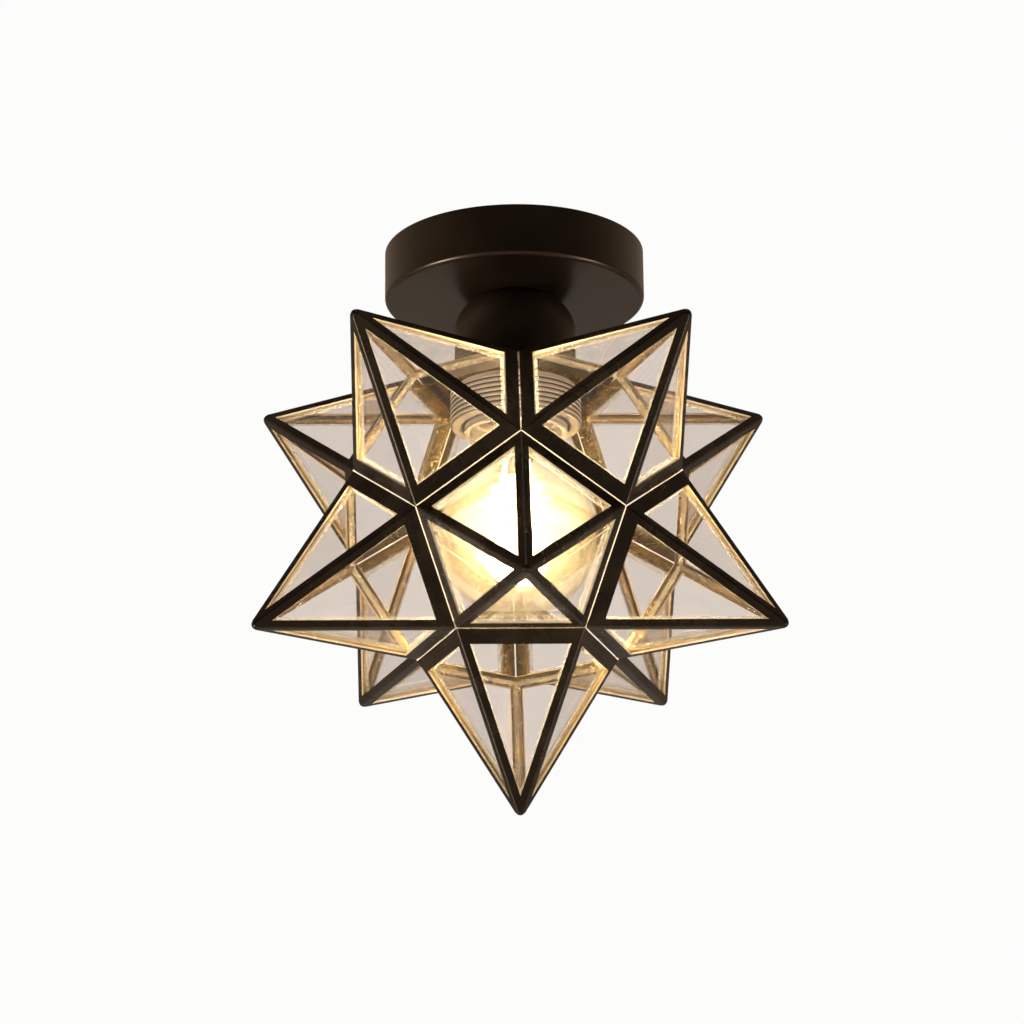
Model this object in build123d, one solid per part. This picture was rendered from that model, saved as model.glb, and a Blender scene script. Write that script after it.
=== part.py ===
from build123d import *
import os
from math import asin, atan, cos, degrees, pi, radians, sin, sqrt, tan

# Semi-flush ceiling light: a star of eleven glass points under a round canopy.
# Millimetres, +Z up, origin at the centre of the ceiling face of the canopy.

# Canopy against the ceiling
canopy_diameter = 100.0
canopy_height = 20.0
canopy_wall = 1.2
canopy_edge_radius = 1.8

# Neck between canopy and star
neck_clearance = 1.35
neck_top_radius = 16.0
neck_height = 34.6
neck_shoulder_height = 11.4
neck_shoulder_bulge = 1.7
neck_wall = 1.2

# Star: edge of the pentagon on which each point stands, and the build of its walls
star_edge = 47.0
point_gap = 0.5
strip_sheet = 0.8
glass_thickness = 2.0
ridge_flange = 3.0
base_flange = 6.0
glass_lap = 1.0
ridge_nose_radius = 1.0
tip_radius = 1.9
solder_length = 3.6
solder_depth = 0.6
solder_inset = 0.45

# Star top plate
plate_sheet = 1.2
plate_rim = 1.4
plate_depth = 3.4
plate_hole_clearance = 0.4

# Ceiling bracket
bracket_width = 18.0
bracket_thickness = 1.5
bracket_ear_drop = 14.0
bracket_ear_clearance = 0.3
bracket_bend_radius = 1.0
slot_spacing = 60.0
slot_width = 4.6
slot_length = 14.0
bracket_eye_radius = 8.0
grub_screw_radius = 1.95
grub_screw_length = 4.6
grub_screw_clearance = 0.05
grub_screw_sink = 0.3
grub_screw_drop = 10.0
hex_key_size = 2.0
hex_key_depth = 2.0

# Earthing on the bracket
earth_screw_radius = 1.9
earth_screw_head_radius = 3.6
earth_screw_head_height = 2.4
earth_screw_length = 4.0
earth_screw_x = -22.0
earth_lead_step = 8.0
earth_tag_radius = 4.2
earth_tag_thickness = 0.8
earth_tag_tail = 9.0

# Terminal block under the bracket
block_length = 14.0
block_width = 17.6
block_height = 10.0
block_x = 24.0
block_pole_pitch = 5.6
block_bore_radius = 1.2
block_screw_radius = 1.3
block_screw_length = 1.8

# Threaded tube, nuts and washer
tube_radius = 5.0
tube_bore_radius = 3.5
tube_hole_clearance = 0.2
tube_top_rise = 3.0
nut_flats = 14.0
nut_height = 3.0
nut_fit = 0.05
washer_radius = 9.0
washer_thickness = 1.0

# Leads
lead_radius = 0.9
earth_lead_radius = 0.9
lead_bend_radius = 3.2
lead_offset = 1.6

# Lampholder
skirt_radius = 19.6
skirt_bore_clearance = 1.0
skirt_length = 18.9
skirt_mouth_radius = 17.6
skirt_mouth_length = 5.5
skirt_shoulder_step = 0.65
skirt_shoulder_height = 3.0
barrel_radius = 18.9
barrel_height = 16.2
cap_wall = 1.7
cap_fit = 0.05
cap_dome_radius = 4.0
cap_nut_gap = 0.3
insert_radius = 18.4
insert_thickness = 4.0
terminal_offset = 9.5
terminal_length = 6.0
terminal_width = 6.0
terminal_height = 4.4
terminal_screw_radius = 1.5
terminal_screw_height = 1.0
shell_wall = 0.4
shell_length = 26.0
shell_flange = 0.8
shell_lip = 0.3
shell_lip_height = 1.0
shell_eye_clearance = 3.0
thread_clearance = 0.3

# Shade ring on the skirt
ring_wall = 5.3
ring_rib_depth = 0.7
ring_rib_count = 7
ring_rib_pitch = 1.9
ring_collar_step = 1.6
ring_collar_height = 1.6
ring_thread_fit = 0.1

# Centre contact of the lampholder
contact_radius = 3.4
contact_thickness = 0.6
contact_stem_radius = 1.3
contact_stem_fit = 0.1
contact_travel = 1.0
contact_rivet_radius = 2.1
contact_rivet_height = 0.5
contact_spring_radius = 2.6
contact_spring_wall = 0.3

# Bulb
bulb_radius = 30.0
bulb_drop = 8.0
bulb_wall = 0.8
bulb_neck_radius = 13.2
bulb_neck_rise = 49.0
bulb_neck_tuck = 3.0
bulb_cap_step = 0.1
bulb_cap_wall = 0.3
bulb_cap_bead = 0.7
bulb_cap_bead_pitch = 3.6
bulb_cap_bead_count = 4
bulb_insulator_radius = 7.0
bulb_insulator_height = 2.6
bulb_tip_radius = 4.6
bulb_tip_height = 0.8
stem_radius = 2.6
stem_flare_radius = 11.0
stem_flare_height = 9.0
stem_length = 34.0
filament_radius = 0.9
filament_length = 36.0
filament_count = 4
filament_top_offset = 6.0
filament_lean = 9.0
filament_drop = 6.0
support_wire_radius = 0.35
support_wire_rise = 6.0
spider_drop = 3.0
spider_rise = 1.0

# Hinge of the bottom point
hinge_length = 18.0
hinge_leaf_thickness = 0.6
hinge_leaf_reach = 5.5
hinge_barrel_radius = 1.5
hinge_pin_radius = 0.7
hinge_pin_fit = 0.05
hinge_pin_head_radius = 1.2
hinge_pin_head_length = 0.6
hinge_face_clearance = 0.2
hinge_leaf_clearance = 0.3
hinge_knuckle_gap = 0.15
hinge_knuckle_count = 3

# Magnet catch of the bottom point
magnet_length = 8.0
magnet_reach = 3.4
magnet_seat = 3.4
magnet_height = 2.6
magnet_gap = 0.3
keeper_depth = 3.2
keeper_thickness = 1.2

# Shape of the star, from its edge: every wall of a point leans by the same angle
golden = (1 + sqrt(5)) / 2
lean = atan(0.5)
mitre = atan(1 / golden)
face_inradius = star_edge / 2 / tan(radians(36))
apothem = face_inradius * golden
tip_height = apothem + 2 * face_inradius
side_height = 2 * face_inradius / cos(lean)
side_slope = atan(star_edge / 2 / side_height)
nose_cut = tip_height - tip_radius / sin(lean) + tip_radius * sin(lean)

# Radii that follow from the bulb's neck and the lampholder's barrel
bulb_cap_radius = bulb_neck_radius - bulb_cap_step
shell_bore = bulb_neck_radius + bulb_cap_wall + thread_clearance
shell_radius = shell_bore + shell_wall
skirt_bore_radius = shell_radius + skirt_bore_clearance
cap_radius = barrel_radius + cap_fit + cap_wall
skirt_shoulder_radius = cap_radius + skirt_shoulder_step
neck_radius = cap_radius + neck_clearance + neck_wall
ring_radius = skirt_radius + ring_thread_fit + ring_wall
ring_collar_radius = ring_radius - ring_collar_step

# Levels along the axis of the light
canopy_radius = canopy_diameter / 2
canopy_floor = canopy_wall - canopy_height
neck_top = -canopy_height
plate_top = neck_top - neck_height
star_centre = plate_top - apothem
nut_bottom = neck_top - neck_wall - nut_height
barrel_top = plate_top + barrel_height
insert_top = barrel_top + insert_thickness
holder_top = nut_bottom - cap_nut_gap
tube_top = canopy_floor + washer_thickness + nut_height + tube_top_rise
bulb_centre = star_centre - bulb_drop
bulb_neck_top = bulb_centre + bulb_neck_rise
contact_face = barrel_top - contact_travel - contact_thickness - 2 * contact_spring_wall


def write(node, *solids):
    """Write one named piece, or one group of like pieces, to its own file."""
    whole = solids[0] if len(solids) == 1 else Compound(children=list(solids))
    export_step(whole, f"parts/{node}.step")


def single(shape):
    """The one solid that a chain of cuts leaves."""
    return shape.solids()[0]


def turned(*points):
    """Solid of revolution about the light's axis, from (radius, height) corners."""
    outline = Polyline(*[(r, 0, z) for r, z in points], close=True)
    return single(revolve(make_face(outline), Axis.Z))


def tube(outer, inner, low, high):
    """Round tube or, with no inner radius, a round bar along the light's axis."""
    bar = Pos(0, 0, low) * Cylinder(outer, high - low, align=(Align.CENTER, Align.CENTER, Align.MIN))
    if inner:
        bar -= Pos(0, 0, low) * Cylinder(inner, high - low, align=(Align.CENTER, Align.CENTER, Align.MIN))
    return single(bar)


def pentagon(height, inradius):
    """Corners of a level pentagon with one corner on +X."""
    radius = inradius / cos(radians(36))
    angles = [radians(72 * i) for i in range(5)]
    return [Vector(radius * cos(t), radius * sin(t), height) for t in angles]


def pyramid(ring, tip):
    """Closed pyramid on a ring of corners."""
    sides = [Face(Wire.make_polygon([ring[i - 1], ring[i], tip])) for i in range(len(ring))]
    return Solid(Shell(sides + [Face(Wire.make_polygon(ring))]))


# Canopy: a spun cup, open to the ceiling
def canopy():
    inner = canopy_radius - canopy_wall
    cup = tube(canopy_radius, 0, -canopy_height, 0)
    cup = fillet(cup.edges().group_by(Axis.Z)[0], canopy_edge_radius)
    cup -= fillet(tube(inner, 0, canopy_floor, 0).edges().group_by(Axis.Z)[0], canopy_edge_radius - canopy_wall / 2)
    cup -= tube(tube_radius + tube_hole_clearance, 0, -canopy_height, canopy_floor)
    hole = Cylinder(grub_screw_radius + tube_hole_clearance, 4 * canopy_radius)
    cup -= Pos(0, 0, -grub_screw_drop) * Rot(0, 90, 0) * hole
    return single(cup)


# Bracket: a flat bar with slots, its ends turned down inside the canopy
ear_face = sqrt((canopy_radius - canopy_wall) ** 2 - (bracket_width / 2) ** 2) - bracket_ear_clearance


def bracket():
    half = ear_face
    bar = Polyline(
        (-half, 0, -bracket_ear_drop),
        (-half, 0, 0),
        (half, 0, 0),
        (half, 0, -bracket_ear_drop),
        (half - bracket_thickness, 0, -bracket_ear_drop),
        (half - bracket_thickness, 0, -bracket_thickness),
        (-half + bracket_thickness, 0, -bracket_thickness),
        (-half + bracket_thickness, 0, -bracket_ear_drop),
        close=True,
    )
    strap = single(extrude(make_face(bar), bracket_width / 2, both=True))
    strap = fillet(strap.edges().filter_by(Axis.Y).group_by(Axis.Z)[-2], bracket_bend_radius)
    strap = fillet(strap.edges().filter_by(Axis.Y).group_by(Axis.Z)[-1], bracket_bend_radius + bracket_thickness)
    slot = extrude(SlotOverall(slot_length, slot_width), bracket_thickness, both=True)
    for side in (-1, 1):
        strap -= Pos(side * slot_spacing / 2, 0, 0) * slot
        strap -= Pos(side * half, 0, -grub_screw_drop) * Rot(0, 90, 0) * Cylinder(
            grub_screw_radius + grub_screw_clearance, 4 * bracket_thickness
        )
    strap -= Cylinder(bracket_eye_radius, 4 * bracket_thickness)
    strap -= Pos(earth_screw_x, 0, 0) * Cylinder(earth_screw_radius + grub_screw_clearance, 4 * bracket_thickness)
    return single(strap)


def grub_screws():
    screw = Cylinder(grub_screw_radius, grub_screw_length, align=(Align.CENTER, Align.CENTER, Align.MAX))
    key = extrude(RegularPolygon(hex_key_size / 2, 6, major_radius=False), -hex_key_depth)
    screw = single(screw - key)
    face = canopy_radius - grub_screw_sink
    right = Pos(face, 0, -grub_screw_drop) * Rot(0, 90, 0) * screw
    return [right, Rot(0, 0, 180) * right]


# Earth screw and its ring tag under the bracket
tag_top = -bracket_thickness
tag_bottom = tag_top - earth_tag_thickness


def earth_screw():
    head_bottom = tag_bottom - earth_screw_head_height
    shank = tube(earth_screw_radius, 0, tag_bottom, tag_bottom + earth_screw_length - bracket_thickness)
    head = tube(earth_screw_head_radius, 0, head_bottom, tag_bottom)
    slot = Pos(0, 0, head_bottom) * Box(2 * earth_screw_head_radius, 0.8, 1.6)
    return Pos(earth_screw_x, 0, 0) * single(head + shank - slot)


def earth_tag():
    ring = Circle(earth_tag_radius) + Pos(0, earth_tag_tail / 2) * Rectangle(3.2, earth_tag_tail)
    ring -= Circle(earth_screw_radius + grub_screw_clearance)
    return Pos(earth_screw_x, 0, tag_bottom) * single(extrude(ring, earth_tag_thickness))


# Terminal block: three poles through it along X, clamp screws from below
block_top = -bracket_thickness
block_face = block_x - block_length / 2
pole_height = block_top - block_height * 0.6
poles = [pole * block_pole_pitch for pole in (-1, 0, 1)]


def terminal_block():
    body = Pos(block_x, 0, block_top - block_height / 2) * Box(block_length, block_width, block_height)
    body = fillet(body.edges().filter_by(Axis.Z), 1.0)
    well_depth = pole_height - (block_top - block_height)
    well = Cylinder(block_screw_radius, well_depth, align=(Align.CENTER, Align.CENTER, Align.MIN))
    for y in poles:
        body -= Pos(block_x, y, pole_height) * Rot(0, 90, 0) * Cylinder(block_bore_radius, block_length)
        for side in (-1, 1):
            body -= Pos(block_x + side * block_length / 4, y, block_top - block_height) * well
    return single(body)


def terminal_screws():
    high = pole_height - lead_radius
    return [
        Pos(block_x + side * block_length / 4, y, 0) * tube(block_screw_radius, 0, high - block_screw_length, high)
        for y in poles
        for side in (-1, 1)
    ]


# Threaded tube through canopy, neck and holder cap, with its nuts and washer
def threaded_tube():
    bar = tube(tube_radius, tube_bore_radius, holder_top - cap_wall, tube_top)
    return single(chamfer(bar.edges().filter_by(GeomType.CIRCLE).group_by(Axis.Z)[-1].sort_by(SortBy.RADIUS)[-1], 0.5))


def nut(low):
    body = extrude(Pos(0, 0, low) * RegularPolygon(nut_flats / 2, 6, major_radius=False), nut_height)
    return single(body - tube(tube_radius + nut_fit, 0, low, low + nut_height))


def leads():
    """Live and neutral, from the block down the tube to the holder's terminals."""
    exit_height = insert_top + terminal_height / 2
    cords = []
    for side, pole in ((-1, poles[0]), (1, poles[1])):
        y = side * lead_offset
        path = FilletPolyline(
            (block_face + block_length / 4, pole, pole_height),
            (block_face - lead_bend_radius, pole, pole_height),
            (0, y, pole_height),
            (0, y, exit_height),
            (side * terminal_offset, y, exit_height),
            radius=lead_bend_radius * 0.7,
        )
        cords.append(sweep_round(path, lead_radius))
    return cords


def sweep_round(path, radius):
    """Round cord along a path of straight runs and arcs."""
    start = Plane(origin=path @ 0, z_dir=path % 0)
    return single(sweep(start * Circle(radius), path=path))


def earth_lead():
    tail = (earth_screw_x, earth_tag_tail, tag_bottom - earth_lead_radius)
    path = FilletPolyline(
        tail,
        (earth_screw_x + earth_lead_step, earth_tag_tail + earth_lead_step, tag_bottom - 2 * earth_lead_radius),
        (4, 17, pole_height + 1),
        (block_face - 4, poles[2], pole_height),
        (block_face + block_length / 4, poles[2], pole_height),
        radius=lead_bend_radius,
    )
    return sweep_round(path, earth_lead_radius)


# Neck: domed cup, its shoulder falling to a crisp edge above a straight wall
def neck():
    def profile(inset):
        chord = Vector(neck_radius - neck_top_radius, 0, -neck_shoulder_height)
        middle = Vector(neck_top_radius, 0, neck_top) + chord * 0.5
        outward = Vector(neck_shoulder_height, 0, neck_radius - neck_top_radius).normalized()
        bulge = middle + outward * (neck_shoulder_bulge - inset)
        low = Vector(neck_radius - inset, 0, neck_top - neck_shoulder_height)
        high = Vector(neck_top_radius - inset / 2, 0, neck_top - inset)
        return high, bulge, low

    outer = profile(0)
    inner = profile(neck_wall)
    hole = tube_radius + tube_hole_clearance
    lines = [
        Line((hole, 0, neck_top), outer[0]),
        ThreePointArc(outer[0], outer[1], outer[2]),
        Line(outer[2], (neck_radius, 0, plate_top)),
        Line((neck_radius, 0, plate_top), (neck_radius - neck_wall, 0, plate_top)),
        Line((neck_radius - neck_wall, 0, plate_top), inner[2]),
        ThreePointArc(inner[2], inner[1], inner[0]),
        Line(inner[0], (hole, 0, neck_top - neck_wall)),
        Line((hole, 0, neck_top - neck_wall), (hole, 0, neck_top)),
    ]
    return single(revolve(make_face(lines), Axis.Z))


# Lampholder
def holder_cap():
    low = plate_top + skirt_shoulder_height
    cup = tube(cap_radius, 0, low, holder_top)
    cup = fillet(cup.edges().group_by(Axis.Z)[-1], cap_dome_radius)
    cup -= tube(barrel_radius + cap_fit, 0, low, insert_top)
    cup -= fillet(tube(insert_radius - 1.0, 0, insert_top, holder_top - cap_wall).edges().group_by(Axis.Z)[-1], 2.0)
    cup -= tube(tube_radius + nut_fit, 0, holder_top - cap_wall, holder_top)
    return single(cup)


def holder_body():
    return turned(
        (skirt_bore_radius, barrel_top),
        (barrel_radius, barrel_top),
        (barrel_radius, plate_top + skirt_shoulder_height),
        (skirt_shoulder_radius, plate_top + skirt_shoulder_height),
        (skirt_shoulder_radius, plate_top),
        (skirt_radius, plate_top),
        (skirt_radius, plate_top - skirt_length),
        (skirt_mouth_radius, plate_top - skirt_length),
        (skirt_mouth_radius, plate_top - skirt_length + skirt_mouth_length),
        (skirt_bore_radius, plate_top - skirt_length + skirt_mouth_length),
    )


def holder_insert():
    disc = tube(insert_radius, contact_stem_radius + contact_stem_fit, barrel_top, insert_top)
    return single(disc)


def holder_terminals():
    bridge = Pos(0, 0, insert_top + contact_rivet_height) * Box(
        2 * (terminal_offset - terminal_length / 2), terminal_width, contact_rivet_height,
        align=(Align.CENTER, Align.CENTER, Align.MAX),
    )
    solids = []
    for side in (-1, 1):
        block = Pos(side * terminal_offset, side * lead_offset, insert_top) * Box(
            terminal_length, terminal_width, terminal_height, align=(Align.CENTER, Align.CENTER, Align.MIN)
        )
        bore = Pos(side * terminal_offset, side * lead_offset, insert_top + terminal_height / 2)
        block -= bore * Rot(0, 90, 0) * Cylinder(lead_radius + 0.2, terminal_length)
        screw = Pos(side * terminal_offset, side * lead_offset, 0) * tube(
            terminal_screw_radius, 0, insert_top + terminal_height, insert_top + terminal_height + terminal_screw_height
        )
        solids += [single(block), screw]
    return solids


def screw_shell():
    low = barrel_top - shell_length
    eye = contact_radius + shell_eye_clearance
    return turned(
        (shell_bore, low),
        (shell_radius + shell_lip, low),
        (shell_radius, low + shell_lip_height),
        (shell_radius, barrel_top - shell_wall),
        (shell_radius + shell_flange, barrel_top - shell_wall),
        (shell_radius + shell_flange, barrel_top),
        (eye, barrel_top),
        (eye, barrel_top - shell_wall),
        (shell_bore, barrel_top - shell_wall),
    )


# Shade ring: collar against the plate, ribs below
def shade_ring():
    top = plate_top - plate_sheet
    inner = skirt_radius + ring_thread_fit
    rib_top = top - ring_collar_height
    points = [(inner, top), (ring_collar_radius, top), (ring_collar_radius, rib_top)]
    for rib in range(ring_rib_count):
        height = rib_top - rib * ring_rib_pitch
        points += [(ring_radius, height - ring_rib_pitch * 0.15), (ring_radius, height - ring_rib_pitch * 0.65)]
        points += [(ring_radius - ring_rib_depth, height - ring_rib_pitch * 0.8)]
    bottom = rib_top - ring_rib_count * ring_rib_pitch
    points += [(ring_radius - ring_rib_depth, bottom), (inner, bottom)]
    return turned(*points)


def centre_contact():
    head_top = contact_face + contact_thickness
    rivet_top = insert_top + contact_rivet_height
    return turned(
        (0, contact_face),
        (contact_radius, contact_face),
        (contact_radius, head_top),
        (contact_stem_radius, head_top),
        (contact_stem_radius, insert_top),
        (contact_rivet_radius, insert_top),
        (contact_rivet_radius, rivet_top),
        (0, rivet_top),
    )


def contact_spring():
    """Conical washer that pushes the contact down on the bulb."""
    low = contact_face + contact_thickness
    bore = contact_stem_radius + contact_stem_fit
    return turned(
        (contact_spring_radius, low),
        (contact_spring_radius + contact_spring_wall, low),
        (bore + contact_spring_wall, barrel_top),
        (bore, barrel_top),
    )


# Bulb
def bulb_outline(inset):
    """Neck arc that meets the globe without a kink, as (top, middle, meeting point, arc radius)."""
    globe = bulb_radius - inset
    throat = bulb_neck_radius - inset
    arc = (throat**2 + bulb_neck_rise**2 - globe**2) / (2 * (globe - throat))
    side = throat + arc
    reach = sqrt(side**2 + bulb_neck_rise**2)
    meet = Vector(globe * side / reach, 0, bulb_centre + globe * bulb_neck_rise / reach)
    sweep_angle = asin((bulb_neck_top - meet.Z) / arc)
    middle = Vector(side - arc * cos(sweep_angle / 2), 0, bulb_neck_top - arc * sin(sweep_angle / 2))
    return Vector(throat, 0, bulb_neck_top), middle, meet, globe


def bulb_glass():
    top, middle, meet, globe = bulb_outline(0)
    low_angle = (degrees(asin((meet.Z - bulb_centre) / globe)) - 90) / 2
    belly = Vector(globe * cos(radians(low_angle)), 0, bulb_centre + globe * sin(radians(low_angle)))
    in_top, in_middle, in_meet, in_globe = bulb_outline(bulb_wall)
    in_angle = (degrees(asin((in_meet.Z - bulb_centre) / in_globe)) - 90) / 2
    in_belly = Vector(in_globe * cos(radians(in_angle)), 0, bulb_centre + in_globe * sin(radians(in_angle)))
    tuck = Vector(0, 0, bulb_neck_tuck)
    foot = Vector(0, 0, bulb_centre - globe)
    in_foot = Vector(0, 0, bulb_centre - in_globe)
    lines = [
        Line(top + tuck, top),
        ThreePointArc(top, middle, meet),
        ThreePointArc(meet, belly, foot),
        Line(foot, in_foot),
        ThreePointArc(in_foot, in_belly, in_meet),
        ThreePointArc(in_meet, in_middle, in_top),
        Line(in_top, in_top + tuck),
        Line(in_top + tuck, top + tuck),
    ]
    return single(revolve(make_face(lines), Axis.Z))


cap_low = bulb_neck_top
cap_high = contact_face - bulb_tip_height - bulb_insulator_height
cap_bore = bulb_neck_radius


def bulb_cap():
    """Brass shell over the neck, with rolled beads where the thread is."""
    groove = bulb_cap_radius - bulb_cap_bead
    neck_end = bulb_neck_top + bulb_neck_tuck
    points = [(cap_bore, cap_low), (cap_bore + bulb_cap_wall, cap_low), (cap_bore + bulb_cap_wall, neck_end)]
    start = neck_end + 0.6
    points += [(groove, start)]
    for bead in range(bulb_cap_bead_count):
        height = start + bead * bulb_cap_bead_pitch
        if height + bulb_cap_bead_pitch < cap_high:
            points += [(bulb_cap_radius, height + bulb_cap_bead_pitch * 0.35)]
            points += [(bulb_cap_radius, height + bulb_cap_bead_pitch * 0.6)]
            points += [(groove, height + bulb_cap_bead_pitch * 0.95)]
    points += [(groove, cap_high), (bulb_insulator_radius, cap_high + 1.0)]
    points += [(bulb_insulator_radius - 1.0, cap_high + 1.0), (groove - bulb_cap_wall, cap_high - 0.6)]
    points += [(groove - bulb_cap_wall, start), (cap_bore, neck_end)]
    return turned(*points)


def bulb_insulator():
    top = contact_face - bulb_tip_height
    return turned(
        (0, cap_high + 1.0),
        (bulb_insulator_radius, cap_high + 1.0),
        (bulb_tip_radius, top),
        (0, top),
    )


def bulb_tip():
    low = contact_face - bulb_tip_height
    return turned((0, low), (bulb_tip_radius, low), (bulb_tip_radius * 0.7, contact_face), (0, contact_face))


stem_foot = bulb_neck_top + bulb_neck_tuck


def bulb_stem():
    """Glass mount: flare sealed to the neck, rod down the middle."""
    flare_low = stem_foot - stem_flare_height
    return turned(
        (0, stem_foot - 1.0),
        (bulb_neck_radius - bulb_wall - 0.6, stem_foot),
        (bulb_neck_radius - bulb_wall, stem_foot - 1.2),
        (stem_flare_radius - 2.0, stem_foot - 2.4),
        (stem_radius * 1.5, flare_low + 1.5),
        (stem_radius, flare_low),
        (stem_radius, stem_foot - stem_length),
        (0, stem_foot - stem_length),
    )


filament_foot_offset = filament_top_offset + filament_length * sin(radians(filament_lean))
filament_foot = bulb_centre - filament_drop
filament_head = filament_foot + filament_length * cos(radians(filament_lean))


def rod(start, end, radius):
    """Round bar between two points."""
    return single(Plane(origin=start, z_dir=Vector(end) - Vector(start)) * Cylinder(
        radius, (Vector(end) - Vector(start)).length, align=(Align.CENTER, Align.CENTER, Align.MIN)
    ))


def around_bulb(radius, height, index):
    """Point at one of the filaments' places round the axis."""
    angle = radians(45 + 360 / filament_count * index)
    return (radius * cos(angle), radius * sin(angle), height)


def filaments():
    return [
        rod(
            around_bulb(filament_top_offset, filament_head, i),
            around_bulb(filament_foot_offset, filament_foot, i),
            filament_radius,
        )
        for i in range(filament_count)
    ]


def support_wires():
    """Feeds from the glass stem to the filaments' heads, and the spider that joins their feet."""
    stem_end = stem_foot - stem_length
    post = rod((0, 0, stem_end), (0, 0, filament_foot - spider_drop - spider_rise), support_wire_radius)
    for i in range(filament_count):
        foot = around_bulb(filament_foot_offset, filament_foot - spider_rise, i)
        post += rod((0, 0, filament_foot - spider_drop), foot, support_wire_radius)
    feeds = []
    for i in range(filament_count):
        head = around_bulb(filament_top_offset, filament_head + support_wire_radius / 2, i)
        root = around_bulb(stem_radius * 0.8, filament_head + support_wire_rise, i)
        feeds.append(single(rod(root, head, support_wire_radius) - tube(stem_radius, 0, stem_end, stem_foot)))
    return [single(post)] + feeds


# One point of the star, built on the +Z axis with the star's centre at the origin
def mitred_space():
    """Space of one side of the star: a pentagonal cone from the centre, short of its neighbours by half a gap."""
    start = point_gap / 2 / sin(mitre)
    return pyramid(pentagon(tip_height, (tip_height - start) * tan(mitre)), Vector(0, 0, start))


def point_walls():
    """Pyramid of sheet with a rounded nose along each ridge, its base mitred towards the star's centre."""
    low = apothem - base_flange
    outer = pyramid(pentagon(low, (tip_height - low) / 2), Vector(0, 0, tip_height))
    outer = single(split(outer, Plane.XY.offset(nose_cut), keep=Keep.BOTTOM))
    ends = outer.edges().group_by(Axis.Z)
    outer = fillet(outer.edges() - ends[0] - ends[-1], ridge_nose_radius)
    hollow_tip = tip_height - strip_sheet / sin(lean)
    hollow = pyramid(pentagon(0, hollow_tip / 2), Vector(0, 0, hollow_tip))
    return single((outer & mitred_space()) - hollow)


def side_plane(index):
    """Plane of one side of the point: X along its base, Y up to the tip, Z outwards."""
    angle = radians(36 + 72 * index)
    origin = (face_inradius * cos(angle), face_inradius * sin(angle), apothem)
    outward = (cos(lean) * cos(angle), cos(lean) * sin(angle), sin(lean))
    return Plane(origin=origin, x_dir=(-sin(angle), cos(angle), 0), z_dir=outward)


def side_area(ridge_inset, low, high=None):
    """Part of a side between its two ridge insets, from one height to another or to the tip."""
    half = star_edge / 2

    def reach(height):
        return half * (1 - height / side_height) - ridge_inset / cos(side_slope)

    top = side_height * (1 - ridge_inset / cos(side_slope) / half)
    corners = [(-reach(low), low), (reach(low), low)]
    if high is None:
        corners += [(0, top)]
    else:
        corners += [(reach(high), high), (-reach(high), high)]
    return make_face(Polyline(*corners, close=True))


def slab(index, area, start, depth):
    """Slab under one side of the point, from one depth below its face."""
    plane = side_plane(index).offset(-start)
    return single(extrude(plane * area, -depth))


def pane(index):
    area = side_area(ridge_flange - glass_lap, base_flange - glass_lap)
    return slab(index, area, strip_sheet, glass_thickness)


def point_frame():
    """Five folded ridges, five base strips and a rounded tip, soldered to each other."""
    walls = point_walls()
    open_side = side_area(ridge_flange, -base_flange)
    corner = Vector(tip_height, 0, 0)
    sector = make_face(Polyline((0, 0), corner.rotate(Axis.Z, -36), corner.rotate(Axis.Z, 36), close=True))
    ridge = walls & extrude(sector, tip_height)
    for index in (-1, 0):
        ridge -= slab(index, open_side, -base_flange, 3 * base_flange)
    strip = walls & slab(0, side_area(ridge_flange, -base_flange, base_flange), -base_flange, 2 * base_flange)
    ridge, strip = single(ridge), single(strip)
    ball = Pos(0, 0, tip_height - tip_radius / sin(lean)) * Sphere(tip_radius)
    tip = single(split(ball, Plane.XY.offset(nose_cut), keep=Keep.TOP))
    turns = [Rot(0, 0, 72 * i) for i in range(5)]
    return [turn * ridge for turn in turns] + [turn * strip for turn in turns] + [tip]


# The twelve sides of the star: which way each point looks, and where one base corner lies
def looking(azimuth, rise):
    """Direction at an azimuth and a rise above level, both in degrees."""
    a, e = radians(azimuth), radians(rise)
    return Vector(cos(e) * cos(a), cos(e) * sin(a), sin(e))


ring_rise = degrees(lean)
upper_ring = {
    "upper_back": 90,
    "upper_left_rear": 162,
    "upper_left_front": 234,
    "upper_right_front": 306,
    "upper_right_rear": 18,
}
lower_ring = {
    "lower_front": 270,
    "lower_right_front": 342,
    "lower_right_rear": 54,
    "lower_left_rear": 126,
    "lower_left_front": 198,
}
axes = {name: looking(azimuth, ring_rise) for name, azimuth in upper_ring.items()}
axes |= {name: looking(azimuth, -ring_rise) for name, azimuth in lower_ring.items()}
corners = {name: looking(azimuth, ring_rise - 90) for name, azimuth in upper_ring.items()}
corners |= {name: looking(azimuth, 90 - ring_rise) for name, azimuth in lower_ring.items()}
axes["door"] = Vector(0, 0, -1)
corners["door"] = looking(90, 0)
axes["top"] = Vector(0, 0, 1)
corners["top"] = looking(270, 0)
centre = Vector(0, 0, star_centre)


def seat(name):
    """Place on the star of the point, or the plate, that is built on +Z."""
    return Plane(origin=centre, x_dir=corners[name], z_dir=axes[name]).location


def joint_plane(one, other):
    """Plane across the gap between two neighbours: X along their edge, Y outwards, Z from one to the other."""
    outward = (axes[one] + axes[other]).normalized()
    across = (axes[other] - axes[one]).normalized()
    edge_middle = centre + outward * (apothem / cos(mitre))
    return Plane(origin=edge_middle, x_dir=outward.cross(across), z_dir=across)


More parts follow.
